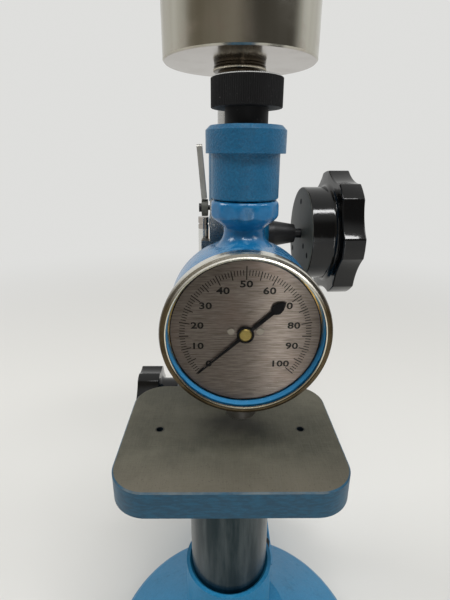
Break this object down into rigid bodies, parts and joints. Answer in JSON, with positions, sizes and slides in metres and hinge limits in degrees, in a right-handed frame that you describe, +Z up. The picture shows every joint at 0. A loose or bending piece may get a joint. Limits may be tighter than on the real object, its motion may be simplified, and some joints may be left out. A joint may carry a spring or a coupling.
{
  "type": "hardness tester",
  "caption": "Bench-top dial durometer stand: weighted, rack-driven carriage over a height-adjustable steel table on a round cast base.",
  "frame": {"origin": "on the bench, directly under the indenter, at the centre of the rubber ring under the round base", "axes": "+X right, +Y away from the user, +Z up along the indenter and load shaft"},
  "size_m": [0.188, 0.226, 0.472],
  "materials": {
    "base_paint": "smooth gloss enamel, medium blue",
    "arm_paint": "slightly textured enamel, darker teal blue",
    "table_paint": "blue enamel sides, ground grey-brown iron top",
    "case_paint": "gloss enamel, medium blue",
    "satin_steel": "ground steel, satin",
    "polished_steel": "polished steel",
    "nickel": "bright nickel plate",
    "chrome": "bright chrome",
    "black_steel": "matt black oxide steel",
    "phenolic": "gloss black phenolic",
    "bronze": "turned bronze",
    "brass": "turned brass",
    "dial_metal": "horizontally brushed silver, black print",
    "black_print": "matt black paint",
    "crystal": "clear sight glass",
    "rubber": "black rubber"
  },
  "bodies": {
    "stand": {"base_casting": "base_paint", "foot_ring": "rubber", "rear_feet": "rubber", "table_clamp_screw": "black_steel", "upright_casting": "arm_paint", "upright_bolts": "black_steel", "lower_shaft_bush": "bronze", "upper_shaft_bush": "bronze", "shaft_wiper": "rubber", "pinion_ferrule": "black_steel", "pinion_end_bush": "black_steel", "bleed_tube": "polished_steel", "valve_gland": "nickel", "tube_fitting": "satin_steel", "valve_block": "satin_steel", "stop_pin": "satin_steel"},
    "table": {"table_plate": "table_paint", "table_column": "satin_steel"},
    "carriage": {"load_shaft": "satin_steel", "shaft_seal": "rubber", "weight_hub": "nickel", "weight": "nickel", "arm_casting": "arm_paint", "arm_clamp_screw": "black_steel", "knurled_screw": "black_steel", "durometer_case": "case_paint", "bezel_ring": "chrome", "crystal": "crystal", "dial_plate": "dial_metal", "dial_screws": "satin_steel", "back_cover": "case_paint", "back_cover_screws": "satin_steel", "movement_front_plate": "brass", "movement_rear_plate": "brass", "presser_foot": "satin_steel"},
    "lift_drive": {"pinion_shaft": "black_steel", "lift_knob": "phenolic"},
    "shaft_lock": {"lock_knob": "phenolic", "lock_stud": "satin_steel", "lock_pad": "brass"},
    "indenter": {"indenter_stem": "satin_steel", "indenter_point": "polished_steel", "spring_seat": "brass", "calibrated_spring": "satin_steel"},
    "arbor": {"movement_arbor": "satin_steel", "arbor_wheel": "brass"},
    "pointer_hand": {"pointer_staff": "satin_steel", "pointer": "black_print", "pointer_bush": "brass"},
    "lever": {"release_lever": "satin_steel", "lever_hub": "phenolic", "lever_pivot_screw": "black_steel"}
  },
  "joints": [
    {"name": "carriage_slide", "type": "slide", "parent": "stand", "child": "carriage", "axis": [0, 0, 1], "range_m": [0, 0.04]},
    {"name": "table_slide", "type": "slide", "parent": "stand", "child": "table", "axis": [0, 0, 1], "range_m": [-0.05, 0.008]},
    {"name": "lift_knob_turn", "type": "hinge", "parent": "stand", "child": "lift_drive", "pos_m": [0.00119, 0.06456, 0.319], "axis": [0.9981, 0.061, 0], "range_deg": [0, 327.9]},
    {"name": "lock_knob_turn", "type": "hinge", "parent": "stand", "child": "shaft_lock", "pos_m": [0, 0.084, 0.181], "axis": [-1, 0, 0], "range_deg": [-180, 90]},
    {"name": "release_lever_turn", "type": "hinge", "parent": "stand", "child": "lever", "pos_m": [-0.0229, 0.056, 0.337], "axis": [1, 0, 0], "range_deg": [-75, 0]},
    {"name": "indenter_slide", "type": "slide", "parent": "carriage", "child": "indenter", "axis": [0, 0, 1], "range_m": [0, 0.0025], "stiffness_N_per_m": 3000, "springref_m": -0.0002, "deforming": ["calibrated_spring"]},
    {"name": "arbor_turn", "type": "hinge", "parent": "carriage", "child": "arbor", "pos_m": [-0.00463, 0, 0.30005], "axis": [0, 1, 0], "range_deg": [-60.5, 0]},
    {"name": "pointer_turn", "type": "hinge", "parent": "carriage", "child": "pointer_hand", "pos_m": [0, 0, 0.2879], "axis": [0, 1, 0], "range_deg": [0, 267]}
  ],
  "couplings": [
    {"joint": "lift_knob_turn", "follows": "carriage_slide", "rad_per_m": 142.86},
    {"joint": "arbor_turn", "follows": "indenter_slide", "rad_per_m": -416.67},
    {"joint": "pointer_turn", "follows": "indenter_slide", "rad_per_m": 1840.3}
  ]
}
